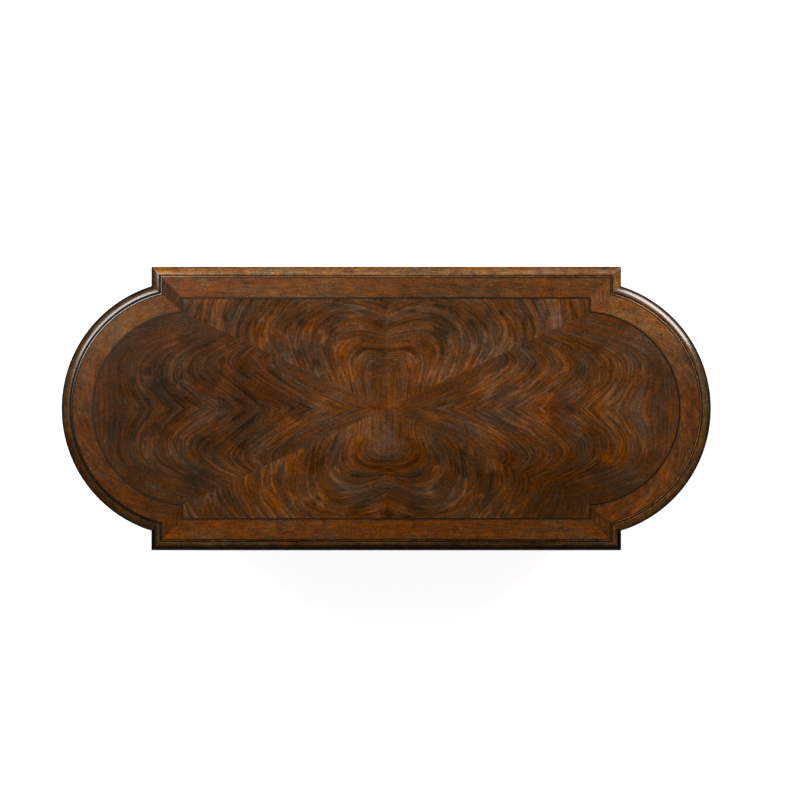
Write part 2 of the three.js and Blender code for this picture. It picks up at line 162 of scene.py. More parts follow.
class Shape:
    """The mesh of one piece while it is built. Each point also carries its place in the wood, with
    the grain along the first coordinate, and a brightness."""

    def __init__(self):
        self.points, self.faces, self.grain, self.tone = [], [], [], []

    def skin(self, rings, tone=1.0, closed=False):
        """Joins rings of (point, place in the wood) in turn. tone is one brightness for all points
        or a list of one for each."""
        count, size, start = len(rings), len(rings[0]), len(self.points)
        faces = []
        for i in range(count if closed else count - 1):
            here, there = i * size, (i + 1) % count * size
            for j in range(size):
                k = (j + 1) % size
                faces.append([here + j, here + k, there + k, there + j])
        if not closed:
            faces += [range(size)[::-1], range((count - 1) * size, count * size)]
        self.faces += [[start + i for i in face] for face in faces]
        self.points += [point for ring in rings for point, _ in ring]
        self.grain += [wood for ring in rings for _, wood in ring]
        self.tone += tone if isinstance(tone, list) else [tone] * count * size

    def mesh(self, name, mirror=False):
        data = bpy.data.meshes.new(name)
        side = -1 if mirror else 1
        data.from_pydata([(side * x, y, z) for x, y, z in self.points], [], self.faces)
        grain = data.attributes.new("grain", "FLOAT_VECTOR", "POINT")
        grain.data.foreach_set("vector", [c for g in self.grain for c in g])
        give_tone(data, self.tone)
        return data


def give_tone(data, values):
    """Writes the brightness of a mesh's points, which the woods read."""
    data.attributes.new("tone", "FLOAT", "POINT").data.foreach_set("value", values)


def tidy_normals(data):
    """Turns all faces outwards."""
    bm = bmesh.new()
    bm.from_mesh(data)
    bmesh.ops.recalc_face_normals(bm, faces=bm.faces)
    bm.to_mesh(data)
    bm.free()


def show(name, data):
    """A new object in the scene."""
    thing = bpy.data.objects.new(name, data)
    bpy.context.scene.collection.objects.link(thing)
    return thing


def piece(name, data, finish, body, replaces=(), smooth=32):
    """Hangs a finished mesh on its body, as the stand-in for its CAD nodes. Edges sharper than
    smooth, in degrees, stay crisp."""
    tidy_normals(data)
    data.shade_smooth()
    data.set_sharp_from_angle(angle=math.radians(smooth))
    data.materials.clear()
    data.materials.append(finish)
    thing = show(name, data)
    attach(thing, body)
    if replaces:
        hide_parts(*replaces)


def straight(shape, plan, section, first, tone=1.0, worn=()):
    """Carries a section along one straight side of a plan, mitred. Each point of the section is its
    inset, its height and its brightness. worn has the corners whose mitres are rubbed round."""
    corners = (first, (first + 1) % len(plan(0)))

    def ring(corner, rubbed=0.0):
        widest = max(inset for inset, _, _ in section)
        insets = [inset + rubbed * (1 - inset / widest) for inset, _, _ in section]
        return [Vector((*plan(inset)[corner], point[1])) for inset, point in zip(insets, section)]

    rings = [ring(corner) for corner in corners]
    way = (rings[1][0] - rings[0][0]).normalized()
    if corners[1] in worn:
        rings[1:] = [[p - way * WORN for p in rings[1]], ring(corners[1], WORN_POINT)]
    if corners[0] in worn:
        rings[:1] = [ring(corners[0], WORN_POINT), [p + way * WORN for p in rings[0]]]
    offset = far()
    for i, points in enumerate(rings):
        woods = [Vector((p.dot(way), inset, p.z)) + offset for p, (inset, _, _) in zip(points, section)]
        rings[i] = list(zip(points, woods))
    whole = tone * shade(0.05)
    shape.skin(rings, [whole * bright for _ in rings for _, _, bright in section])


def slab(shape, plan, low, high):
    """A board of a plan's outline with softened arrises."""
    levels = [(EASE, low), (0, low + EASE), (0, high - EASE), (EASE, high)]
    offset = far()
    rings = [[Vector((*p, z)) for p in plan(inset)] for inset, z in levels]
    shape.skin([[(p, p + offset) for p in ring] for ring in rings], shade(0.05))


def facing_front(level):
    """Turns across, up and deep into a point of a board whose face looks to the front."""
    return lambda a, b, h: Vector((a, level + h, b))


def facing_back(level):
    """The same for a face that looks to the back."""
    return lambda a, b, h: Vector((a, level - h, b))


def bent(a, b, h):
    """The same for the bent end of a pedestal, with across measured round its outer face. Its two
    ends meet the side at any depth."""
    radius = BODY_RADIUS - h
    turn = a / END_REACH * math.acos((END_PLANE - END_CENTRE) / radius)
    return Vector((END_CENTRE + radius * math.cos(turn), radius * math.sin(turn), b))


def bar(shape, across, up, deep, place, steps=1, lengthwise="up"):
    """A board between two values across, up and deep, with softened arrises. place turns the three
    into a point, so the same board can follow a bend, which steps cuts it up for."""
    (a0, a1), (b0, b1), (h0, h1) = across, up, deep

    def section(inset):
        low_b, high_b, low_h, high_h = b0 + inset, b1 - inset, h0 + inset, h1 - inset
        cut = EASE - inset
        return [
            (low_b + cut, low_h), (high_b - cut, low_h), (high_b, low_h + cut), (high_b, high_h - cut),
            (high_b - cut, high_h), (low_b + cut, high_h), (low_b, high_h - cut), (low_b, low_h + cut),
        ]

    whole, small = section(0), section(EASE * 0.98)
    cuts = [a0 + EASE + (a1 - a0 - 2 * EASE) * i / steps for i in range(steps + 1)]
    stations = [(a0, small)] + [(a, whole) for a in cuts] + [(a1, small)]
    offset = far()
    rings = []
    for a, outline in stations:
        woods = [(a, b, h) if lengthwise == "across" else (b, a, h) for b, h in outline]
        rings.append([(place(a, b, h), Vector(wood) + offset) for (b, h), wood in zip(outline, woods)])
    shape.skin(rings, shade(0.08))


def beading(shape, across, up, section, place, steps=1):
    """A moulding of (inset, rise) points mitred round a rectangle."""
    (a0, a1), (b0, b1) = across, up
    corners = [(a0, b0, 1, 1), (a1, b0, -1, 1), (a1, b1, -1, -1), (a0, b1, 1, -1)]
    for i, (start, end) in enumerate(zip(corners, corners[1:] + corners[:1])):
        level = i % 2 == 0
        cuts = steps if level else 1
        offset = far()
        rings = []
        for k in range(cuts + 1):
            t = k / cuts
            rings.append([])
            for inset, rise in section:
                a = (start[0] + start[2] * inset) * (1 - t) + (end[0] + end[2] * inset) * t
                b = (start[1] + start[3] * inset) * (1 - t) + (end[1] + end[3] * inset) * t
                wood = Vector((a if level else b, inset, rise)) + offset
                rings[-1].append((place(a, b, rise), wood))
        shape.skin(rings, shade(0.06))


def curve(centre, radii, start, end, steps):
    """Points of an elliptical arc, from one angle to another in degrees."""
    turns = [math.radians(start + (end - start) * i / steps) for i in range(steps + 1)]
    return [(centre[0] + radii[0] * math.cos(t), centre[1] + radii[1] * math.sin(t)) for t in turns]


def matched(shape, across, up, deep, place, steps=1):
    """Two leaves of veneer that mirror each other on the middle of what they cover."""
    (a0, a1), (b0, b1), (h0, h1) = across, up, deep
    middle = (a0 + a1) / 2
    wood = dice.uniform(0, 40)
    for side in (-1, 1):
        reach = (a1 - a0) / 2 * side
        rings = []
        for i in range(steps + 1):
            a = middle + reach * i / steps
            corners = ((b0, h0), (b1, h0), (b1, h1), (b0, h1))
            rings.append([(place(a, b, h), (abs(a - middle), b - b0, wood)) for b, h in corners])
        shape.skin(rings, shade(0.06))


def softened(node, sideways):
    """A copy of a CAD node with its facets merged and its arrises softened. Its grain runs from
    side to side, or front to back where sideways is false for the middle of a face."""
    bm = bmesh.new()
    bm.from_mesh(frame["nodes"][node].data)
    bmesh.ops.remove_doubles(bm, verts=bm.verts, dist=0.01 * MM)
    bmesh.ops.dissolve_limit(bm, angle_limit=math.radians(1), verts=bm.verts, edges=bm.edges)
    sharp = [e for e in bm.edges if e.is_manifold and e.calc_face_angle() > math.radians(35)]
    bmesh.ops.bevel(bm, geom=sharp, offset=0.4 * MM, segments=2, affect="EDGES", clamp_overlap=True)
    wood = bm.loops.layers.float_vector.new("grain")
    tone = bm.loops.layers.float.new("tone")
    offset, brightness = far(), shade(0.05)
    for face in bm.faces:
        order = (0, 1, 2) if sideways(face.calc_center_median()) else (1, 2, 0)
        for corner in face.loops:
            corner[wood] = Vector([corner.vert.co[i] for i in order]) + offset
            corner[tone] = brightness
    data = bpy.data.meshes.new(node)
    bm.to_mesh(data)
    bm.free()
    return data


# Writing materials and node recipes as formulas

class Value:
    """A socket of a node tree that can be reckoned with."""

    def __init__(self, tree, socket):
        self.tree, self.socket = tree, socket


for sign, operation in (("add", "ADD"), ("sub", "SUBTRACT"), ("mul", "MULTIPLY"), ("truediv", "DIVIDE")):
    setattr(Value, "__%s__" % sign, lambda a, b, kind=operation: a.tree.maths(kind, a, b))
    setattr(Value, "__r%s__" % sign, lambda b, a, kind=operation: b.tree.maths(kind, a, b))


class Tree:
    """Adds nodes to a tree and joins them."""

    def __init__(self, tree):
        self.tree = tree
        tree.nodes.clear()

    def node(self, kind, **settings):
        made = self.tree.nodes.new(kind)
        for name, value in settings.items():
            setattr(made, name, value)
        return made

    def feed(self, target, source):
        """Sets an input to a number or a colour, or joins a value to it."""
        if isinstance(source, Value):
            self.tree.links.new(source.socket, target)
        else:
            target.default_value = source

    def step(self, kind, inputs, output=0, **settings):
        """A node with its inputs fed, by name or by number. Returns one of its outputs."""
        made = self.node(kind, **settings)
        for name, source in inputs.items():
            self.feed(made.inputs[name], source)
        return Value(self, made.outputs[output])

    def geometry(self, kind, **inputs):
        """A geometry node. An underscore in an input's name stands for a space."""
        named = {name.replace("_", " "): source for name, source in inputs.items()}
        return self.step("GeometryNode" + kind, named)

    def store(self, geometry, name, kind, value):
        inputs = {"Geometry": geometry, "Name": name, "Value": value}
        return self.step("GeometryNodeStoreNamedAttribute", inputs, data_type=kind, domain="POINT")

    def named(self, name, kind):
        return self.step("GeometryNodeInputNamedAttribute", {"Name": name}, data_type=kind)

    def maths(self, operation, *numbers):
        return self.step("ShaderNodeMath", dict(enumerate(numbers)), operation=operation)

    def smooth(self, value, start, end, low=0.0, high=1.0):
        """Rises smoothly from low to high as value goes from start to end."""
        inputs = dict(enumerate((value, start, end, low, high)))
        return self.step("ShaderNodeMapRange", inputs, interpolation_type="SMOOTHSTEP")

    def vector(self, x, y, z):
        return self.step("ShaderNodeCombineXYZ", {0: x, 1: y, 2: z})

    def parts(self, vector):
        first = self.step("ShaderNodeSeparateXYZ", {0: vector})
        return [Value(self, socket) for socket in first.socket.node.outputs]

    def distance(self, x, y):
        return self.maths("SQRT", x * x + y * y)

    def attribute(self, name, output):
        return self.step("ShaderNodeAttribute", {}, output, attribute_name=name)

    def object_place(self):
        return self.step("ShaderNodeTexCoord", {}, "Object")

    def noise(self, place, scale=1.0, detail=2.0, roughness=0.5):
        """Noise at a place, which is a vector or its three numbers."""
        vector = self.vector(*place) if isinstance(place, tuple) else place
        inputs = {"Vector": vector, "Scale": scale, "Detail": detail, "Roughness": roughness}
        return self.step("ShaderNodeTexNoise", inputs, "Fac")

    def colours(self, value, stops):
        """A colour ramp. Each stop is a share and a colour as 0 to 255 in a photograph."""
        colour = self.step("ShaderNodeValToRGB", {0: value})
        ramp = colour.socket.node.color_ramp
        while len(ramp.elements) < len(stops):
            ramp.elements.new(0.5)
        for element, (at, stop) in zip(ramp.elements, stops):
            element.position = at
            element.color = linear(stop)
        return colour

    def mix(self, share, a, b, blend="MIX"):
        inputs = {0: share, 6: a, 7: b}
        return self.step("ShaderNodeMix", inputs, 2, data_type="RGBA", blend_type=blend)

    def bump(self, height, strength, distance):
        return self.step("ShaderNodeBump", {"Strength": strength, "Distance": distance, "Height": height})


def linear(colour):
    """A colour as 0 to 255 in a photograph, as the renderer's own numbers."""
    return tuple(pow((c / 255 + 0.055) / 1.055, 2.4) if c > 10 else c / 255 / 12.92 for c in colour) + (1,)


def polish(name, build, gloss=0.25, coat=0.9, coat_roughness=0.1, metallic=0.0, glow=None):
    """A material whose colour, roughness and relief come from a function of its tree."""
    finish = bpy.data.materials.new(name)
    finish.use_nodes = True
    tree = Tree(finish.node_tree)
    colour, roughness, relief = build(tree)
    inputs = {
        "Base Color": colour, "Roughness": roughness, "Metallic": metallic,
        "Specular IOR Level": gloss, "Coat Weight": coat, "Coat Roughness": coat_roughness,
    }
    if relief:
        inputs["Normal"] = relief
    if glow:
        inputs.update({"Emission Color": (1, 1, 1, 1), "Emission Strength": glow(tree)})
    surface = tree.step("ShaderNodeBsdfPrincipled", inputs)
    tree.feed(tree.node("ShaderNodeOutputMaterial").inputs["Surface"], surface)
    return finish


# Woods

# Dark to light: shares of a wood's figure and their colours as 0 to 255
MAHOGANY = [
    (0.18, (28, 13, 7)), (0.36, (48, 26, 13)), (0.5, (70, 39, 17)),
    (0.64, (94, 55, 24)), (0.82, (126, 80, 40)),
]
MOULDING = [
    (0.18, (28, 15, 6)), (0.36, (48, 29, 12)), (0.5, (70, 45, 20)),
    (0.64, (94, 63, 30)), (0.82, (126, 90, 48)),
]
BORDER = [
    (0.2, (46, 23, 8)), (0.4, (70, 38, 13)), (0.55, (90, 51, 18)),
    (0.7, (111, 67, 26)), (0.85, (134, 86, 40)),
]
FIGURE = [
    (0.3, (50, 28, 8)), (0.38, (63, 37, 13)), (0.48, (76, 45, 20)),
    (0.56, (91, 54, 25)), (0.68, (115, 71, 37)), (0.84, (146, 96, 52)),
]
OAK = [(0.2, (118, 88, 56)), (0.45, (152, 118, 78)), (0.6, (172, 138, 94)), (0.85, (192, 160, 114))]
PORE = (28, 16, 11)


def tinted(tree, colour, flow, strength=1.0, cloudy=0.5, painted_sheen_strength=0.0):
    """Turns a wood's colour from orange to a smoky grey and back along its flow, flecks it with
    red and blue, pales it with a painted sheen towards the back and the right, where the light
    falls, and lays the piece's own brightness, with the painted light and shade its points carry, over it."""
    here = tree.object_place()
    haze = tree.noise(here, scale=8.0) - 0.5
    smoke = (tree.noise(flow, detail=4.0, roughness=1.0) - 0.5) * strength + haze * cloudy
    red_flecks = (tree.noise(here, scale=110.0, roughness=0.9) - 0.5) * strength
    blue_flecks = (tree.noise(here, scale=140.0, roughness=0.9) - 0.5) * strength
    across, back, _ = tree.parts(here)
    # Painted sheen: the colour pales and greys towards the back and the right, where the lamps light it
    painted_sheen = tree.smooth(back, -0.38, 0.3, 0.0, painted_sheen_strength) + tree.smooth(across, 0.6, 0.9, 0.0, painted_sheen_strength)
    tone = tree.attribute("tone", "Fac")
    red = tone * (1 - smoke * 1.9 + red_flecks)
    green = tone * (1 + painted_sheen * 0.14 + smoke * 0.3)
    blue = tone * tree.maths("MAXIMUM", 1 + smoke * 6.6 + blue_flecks * 3.6 + painted_sheen * 0.8, 0.05)
    return tree.mix(1.0, colour, tree.vector(red, green, blue), blend="MULTIPLY")


# Painted pools of light and shade, where the light catches the top's veneers and where it doesn't: x, y,
# radius and strength
FIELD_LIGHT_POOLS = [
    (-0.12, 0.0, 0.2, 0.15), (-0.25, 0.1, 0.2, 0.09), (0.03, 0.02, 0.2, 0.03), (-0.3, -0.08, 0.2, 0.03),
    (-0.05, -0.22, 0.1, 0.05), (-0.5, 0.27, 0.16, 0.08), (0.5, 0.27, 0.16, 0.07), (-0.62, 0.14, 0.16, 0.05),
    (-0.55, -0.15, 0.2, -0.04), (-0.45, -0.28, 0.2, -0.08), (0.5, -0.24, 0.2, -0.06),
    (0.66, 0.0, 0.14, 0.05), (0.0, -0.1, 0.14, 0.05), (0.0, 0.16, 0.16, 0.04),
]
BORDER_LIGHT_POOLS = [
    (-0.72, 0.3, 0.28, 0.16), (0.74, 0.3, 0.28, 0.2), (-0.88, 0.0, 0.14, -0.04), (0.86, -0.02, 0.2, -0.06),
]
EDGING_LIGHT_POOLS = [(0.78, -0.25, 0.3, 0.16), (-0.75, -0.25, 0.2, 0.05)]


def painted_pools(tree, places):
    """The painted light and shade that such places add."""
    x, y, _ = tree.parts(tree.object_place())
    total = 0.0
    for left, up, radius, strength in places:
        total = total + tree.smooth(tree.distance(x - left, y - up), 0.0, radius, strength, 0.0)
    return total


def mixed(*noises):
    """The sum of noises round their middle, each with its weight."""
    total = 0.5
    for noise, weight in noises:
        total = total + (noise - 0.5) * weight
    return total


def straight_wood(colours, streaks=1.0, marks=0.5, slant=0.0, places=(), painted_sheen_strength=0.0, smoky=0.8):
    """Wood whose grain runs along the board, or a little across it by a slant. marks is how dark
    its pores are. places are painted pools of light and shade on it."""

    def build(tree):
        wood = tree.attribute("grain", "Vector")
        lengthwise, sideways, deep = tree.parts(wood)
        along, across = lengthwise + sideways * slant, sideways - lengthwise * slant
        sway = (tree.noise((along * 2.2, across * 14, deep * 14)) - 0.5) * 0.02
        side, depth = across + sway, deep + sway
        broad = tree.noise((along * 1.6, side * 9, depth * 9), detail=3.0)
        rings = tree.noise((along * 4, side * 75, depth * 75), detail=5.0, roughness=0.62)
        fine = tree.noise((along * 26, side * 380, depth * 380), detail=3.0, roughness=0.65)
        pores = tree.noise((along * 110, across * 900, deep * 900), detail=1.0)
        cloud = tree.noise(wood, scale=34.0, detail=3.0, roughness=0.6)
        grit = tree.noise(wood, scale=180.0, detail=4.0, roughness=0.75)
        level = mixed((broad, 0.4 * streaks), (rings, 0.5 * streaks), (fine, 0.6), (cloud, 0.4), (grit, 0.6))
        colour = tree.colours(level + painted_pools(tree, places), colours)
        dark = tree.smooth(pores, 0.6, 0.72, 0.0, marks)
        flow = (along * 4 + 5.1, across * 12, deep * 12)
        colour = tinted(tree, tree.mix(dark, colour, linear(PORE)), flow, smoky, smoky / 4, painted_sheen_strength)
        roughness = 0.24 + (fine - 0.5) * 0.14 + (broad - 0.5) * 0.1
        height = rings * 0.4 + fine * 0.3 - dark * 0.8
        return colour, roughness, tree.bump(height, 0.2, 0.2 * MM)

    return build


def end_feather(tree, u, v):
    """The lines of the long leaves to the left and right. They leave the middle seam slanting
    outwards, turn over like a feather and come back along the diagonal joint."""
    crest = tree.smooth(v, 0.42, 0.58, 0.165, 0.1)
    rise = tree.maths("MINIMUM", u / crest, 1.0)
    bend = tree.maths("SINE", rise * (math.pi / 2))
    past = tree.maths("MAXIMUM", u - 0.118, 0.0)
    return (v + past * past * 17.0 - bend * 0.282) / (1 - bend * 0.36)


def side_feather(tree, u, v):
    """The lines of the leaves to the front and back: nested arches over the middle of the desk,
    round inside and heart-shaped outside, whose legs lean in towards the centre."""
    lean = tree.smooth(v, 0.0, 0.24, 0.7, 1.0)
    out = u / lean
    dip = tree.maths("MAXIMUM", 0.127 - u, 0.0) * tree.smooth(v, 0.12, 0.24, 0.0, 0.36)
    over = tree.maths("MAXIMUM", v + dip - 0.093, 0.0) / 0.81
    power = 2.5
    both = tree.maths("POWER", out, power) + tree.maths("POWER", over, power)
    return tree.maths("POWER", both, 1 / power)


def straight_feather(tree, u, v):
    """The lines of a plain leaf for drawer fronts and panels: arches that rise to the seam."""
    return v * 0.8 + tree.maths("SQRT", u * 0.09 + 0.0004) - u * 0.25


def vein(tree, value):
    """Thin lines where a noise crosses its middle."""
    return tree.smooth(tree.maths("ABSOLUTE", value - 0.5), 0.0, 0.07, 1.0, 0.0)


def figured_wood(feather, contrast=1.0, painted_sheen_strength=0.0):
    """Crotch veneer: soft streaks along the lines of a feather, with bright and dark veins that
    come and go among them."""

    def build(tree):
        wood = tree.attribute("grain", "Vector")
        here = tree.object_place()
        u, v, leaf_place = tree.parts(wood)
        slow = tree.noise((u * 5, v * 5, leaf_place))
        quick = tree.noise((u * 15, v * 15, leaf_place))
        course = feather(tree, u, v)
        line = course + (slow - 0.5) * 0.05 + (quick - 0.5) * 0.012
        calm = tree.smooth(course, 0.02, 0.12, 0.35, 1.0) * tree.smooth(course, 0.55, 0.8, 1.0, 0.5)

        def along_lines(quick, slow, shift=0.0):
            return line * quick + shift, u * slow + leaf_place, v * slow

        bold = tree.noise(along_lines(24, 4))
        middling = tree.noise(along_lines(90, 5), detail=3.0, roughness=0.6)
        fine = tree.noise((line * 280, u * 11, v * 11), roughness=0.65)
        mottle = tree.noise(here, scale=13.0, detail=4.0, roughness=0.75)
        lustre = tree.noise((u * 11, v * 11, leaf_place + 7.3), detail=4.0, roughness=0.6)
        grit = tree.noise(here, scale=170.0, detail=4.0, roughness=0.75)
        patch = tree.noise(here, scale=3.4)
        lines = tree.noise(along_lines(42, 7), detail=1.0)
        cracks = tree.noise(along_lines(36, 6, 11), detail=1.0)
        lively = lustre + (patch - 0.5) * 0.6
        bright = vein(tree, lines) * tree.smooth(lively, 0.42, 0.58)
        dark = vein(tree, cracks) * tree.smooth(lively, 0.58, 0.42)
        level = mixed(
            (bold, calm * (0.26 * contrast)), (middling, calm * (0.3 * contrast)), (fine, 0.28),
            (mottle, 0.34), (grit, 0.45), (patch, 0.2))
        level = level + bright * calm * 0.14 - dark * calm * 0.16 + painted_pools(tree, FIELD_LIGHT_POOLS)
        colour = tinted(tree, tree.colours(level, FIGURE), along_lines(14, 5, 3.7), painted_sheen_strength=painted_sheen_strength)
        roughness = 0.22 + (fine - 0.5) * 0.12 + (mottle - 0.5) * 0.1
        return colour, roughness, tree.bump(fine + middling * 0.4, 0.2, 0.2 * MM)

    return build


def clouded(dark, pale, scale, roughness, varying=0.0, detail=3.0):
    """One colour that clouds a little into another. varying is how much its roughness does."""

    def build(tree):
        cloud = tree.noise(tree.object_place(), scale=scale, detail=detail)
        return tree.colours(cloud, [(0.3, dark), (0.7, pale)]), cloud * varying + roughness, None

    return build


def aged_brass(tree):
    here = tree.object_place()
    patina = tree.noise(here, scale=90.0, detail=4.0, roughness=0.6)
    wear = tree.noise(here, scale=420.0)
    colour = tree.colours(patina, [(0.3, (120, 86, 42)), (0.5, (176, 136, 74)), (0.7, (206, 166, 100))])
    return colour, 0.2 + patina * 0.24, tree.bump(wear, 0.1, 0.1 * MM)


def floor_glow(tree):
    """Strong under the desk, and gone where the floor is far away."""
    x, y, _ = tree.parts(tree.object_place())
    return tree.smooth(tree.distance(x, y), 1.5, 3.2, 0.94, 0.08)


mahogany = polish("mahogany", straight_wood(MAHOGANY), coat=0.4)
moulding_wood = straight_wood(MOULDING, places=EDGING_LIGHT_POOLS, painted_sheen_strength=0.3)
moulding_mahogany = polish("moulding_mahogany", moulding_wood, coat_roughness=0.17)
border_mahogany = polish("border_mahogany", straight_wood(BORDER, streaks=0.5, painted_sheen_strength=1.0))
end_border = polish("end_border", straight_wood(BORDER, 0.7, slant=0.25, places=BORDER_LIGHT_POOLS, painted_sheen_strength=1.0))
end_figure = polish("end_figure", figured_wood(end_feather, painted_sheen_strength=0.6))
side_figure = polish("side_figure", figured_wood(side_feather, painted_sheen_strength=0.6))
panel_figure = polish("panel_figure", figured_wood(straight_feather, 0.8), coat=0.4)
oak = polish("oak", straight_wood(OAK, streaks=0.9, marks=0.35, smoky=0.2), coat=0.05)
ebony = polish("ebony", clouded((12, 9, 7), (28, 22, 16), 160.0, 0.4, 0.1), gloss=0.2, coat=0.4)
brass = polish("brass", aged_brass, coat=0.0, metallic=1.0)
dirt = clouded((16, 10, 8), (34, 21, 15), 900.0, 0.6, detail=2.0)
mark = polish("mark", dirt, gloss=0.2, coat=0.0)
pale = clouded((186, 186, 185), (190, 190, 189), 0.6, 0.9)
glowing_floor = polish("floor", pale, gloss=0.1, coat=0.0, glow=floor_glow)


# What repeats, and the bent mouldings, as Geometry Nodes

def recipe(name, inputs):
    """A tree with named inputs. Returns it with its inputs as values."""
    group = bpy.data.node_groups.new(name, "GeometryNodeTree")
    for label, kind in {"Geometry": "Geometry", **inputs, "Finish": "Material"}.items():
        group.interface.new_socket(label, in_out="INPUT", socket_type="NodeSocket" + kind)
    group.interface.new_socket("Geometry", in_out="OUTPUT", socket_type="NodeSocketGeometry")
    tree = Tree(group)
    entry = tree.node("NodeGroupInput")
    return tree, {socket.name: Value(tree, socket) for socket in entry.outputs if socket.name}


def serve(tree, geometry, finish):
    """Ends a recipe: real meshes, with their finish."""
    real = tree.geometry("RealizeInstances", Geometry=geometry)
    dressed = tree.geometry("SetMaterial", Geometry=real, Material=finish)
    tree.feed(tree.node("NodeGroupOutput").inputs[0], dressed)


def cook(tree, base, settings):
    """Runs a recipe on a mesh and returns the outcome as a plain mesh."""
    thing = show("stock", base)
    modifier = thing.modifiers.new("recipe", "NODES")
    modifier.node_group = tree.tree
    for socket in tree.tree.interface.items_tree:
        if socket.in_out == "INPUT" and socket.name in settings:
            modifier[socket.identifier] = settings[socket.name]
    ready = thing.evaluated_get(bpy.context.evaluated_depsgraph_get())
    data = bpy.data.meshes.new_from_object(ready)
    thing.modifiers.remove(modifier)
    bpy.data.objects.remove(thing)
    return data


def outline_mesh(points, closed=True):
    """A line of (first, second, brightness) points as a mesh, for a recipe to sweep."""
    data = bpy.data.meshes.new("outline")
    edges = [(i, i + 1) for i in range(len(points) - 1)] + ([(len(points) - 1, 0)] if closed else [])
    data.from_pydata([(a, b, 0) for a, b, _ in points], edges, [])
    give_tone(data, [bright for _, _, bright in points])
    return data


def plain(points, bright=1.0):
    """Points of a section that all have the same brightness."""
    return [(*point, bright) for point in points]


def sweep(tree, section, steps, caps):
    """A section carried along a straight path. Returns the mesh, each point's place in the section
    and its share of the path, from 0 to 1."""
    line = tree.geometry("MeshToCurve", Mesh=section)
    profile = tree.store(line, "spot", "FLOAT_VECTOR", tree.geometry("InputPosition"))
    path = tree.geometry("CurvePrimitiveLine", Start=(0, 0, 0), End=(0, 0, 1))
    counted = tree.geometry("ResampleCurve", Curve=path, Count=steps + 1)
    rail = tree.store(counted, "share", "FLOAT", tree.geometry("SplineParameter"))
    mesh = tree.geometry("CurveToMesh", Curve=rail, Profile_Curve=profile, Fill_Caps=caps)
    return mesh, tree.named("spot", "FLOAT_VECTOR"), tree.named("share", "FLOAT")


def bent_moulding():
    """A moulding round an end. Its two ends are mitred: each line of the section stops where it
    meets its own plane across the desk. Facing is 1 for the right end and -1 for the left."""
    tree, given = recipe("bent_moulding", {
        "Radius": "Float", "Centre": "Float", "Plane": "Float", "Facing": "Float",
        "Steps": "Int", "Wood": "Vector", "Brightness": "Float",
    })
    mesh, spot, share = sweep(tree, given["Geometry"], given["Steps"], True)
    inset, height, _ = tree.parts(spot)
    radius = given["Radius"] - inset
    half = tree.maths("ARCCOSINE", (given["Plane"] - inset - given["Centre"]) / radius)
    turn = (share * 2 - 1) * half
    x = given["Facing"] * (given["Centre"] + radius * tree.maths("COSINE", turn))
    y = given["Facing"] * radius * tree.maths("SINE", turn)
    placed = tree.geometry("SetPosition", Geometry=mesh, Position=tree.vector(x, y, height))
    here = tree.vector(turn * given["Radius"], inset, height)
    wood = tree.step("ShaderNodeVectorMath", {0: here, 1: given["Wood"]})
    grained = tree.store(placed, "grain", "FLOAT_VECTOR", wood)
    toned = tree.store(grained, "tone", "FLOAT", tree.named("tone", "FLOAT") * given["Brightness"])
    serve(tree, toned, given["Finish"])
    return tree


def turned_knobs():
    """A profile of (radius, reach) points turned round its axis, one for each point of Places."""
    tree, given = recipe("turned_knobs", {"Places": "Object", "Steps": "Int"})
    mesh, spot, share = sweep(tree, given["Geometry"], given["Steps"], False)
    radius, reach, _ = tree.parts(spot)
    turn = share * (2 * math.pi)
    around = tree.vector(radius * tree.maths("COSINE", turn), reach, radius * tree.maths("SINE", turn))
    turned = tree.geometry("SetPosition", Geometry=mesh, Position=around)
    welded = tree.geometry("MergeByDistance", Geometry=turned, Distance=0.01 * MM)
    places = tree.step("GeometryNodeObjectInfo", {"Object": given["Places"]}, "Geometry")
    points = tree.geometry("MeshToPoints", Mesh=places)
    knobs = tree.geometry("InstanceOnPoints", Points=points, Instance=welded)
    serve(tree, knobs, given["Finish"])
    return tree


def scattered_marks():
    """Small dark marks of age, flat on a surface."""
    tree, given = recipe("scattered_marks", {
        "Density": "Float", "Seed": "Int", "Smallest": "Float", "Largest": "Float", "Thickness": "Float",
    })
    seed = given["Seed"]
    points = tree.geometry(
        "DistributePointsOnFaces", Mesh=given["Geometry"], Density=given["Density"], Seed=seed)
    ball = tree.geometry("MeshIcoSphere", Radius=0.5, Subdivisions=2)
    draw = tree.step("FunctionNodeRandomValue", {2: 0.0, 3: 1.0, "Seed": seed}, 1)
    size = given["Smallest"] + tree.maths("POWER", draw, 3.0) * (given["Largest"] - given["Smallest"])
    turn = tree.step("FunctionNodeRandomValue", {2: 0.0, 3: 2 * math.pi, "Seed": seed + 1}, 1)
    marks = tree.geometry(
        "InstanceOnPoints", Points=points, Instance=ball, Rotation=tree.vector(0.0, 0.0, turn),
        Scale=tree.vector(size * 1.7, size, given["Thickness"]))
    serve(tree, marks, given["Finish"])
    return tree


# The top

# The edging's section, as in the solids
LIP_WIDTH = 4 * MM
LIP_ROUND = (3 * MM, 1.2 * MM)  # width and height of its rounded edge
STEP_DROP = 2 * MM  # down to the crown of the nosing
QUIRK_WIDTH, QUIRK_DEPTH = 2 * MM, 2.5 * MM  # the groove beside the nosing
SHOULDER = 5 * MM  # over which the nosing rises out of the groove
CROWN_SLOPE, RIM_SLOPE = 17, 46  # degrees from level where the nosing's curve starts and ends
FLAT = 10 * MM  # the upright edge under the nosing
COVE_STEP, COVE_WIDTH, COVE_FILLET = 3 * MM, 7 * MM, 2 * MM

# Dirt and wax darken the joints. Each side's lip, groove and rim get painted light and shade of their own,
# darker in the groove and at the rim, brighter on the sides that face the lamps
JOINT_DIRT = 0.25
DIRT_WIDTH = 1.2 * MM  # of the dirt on the veneer's edge
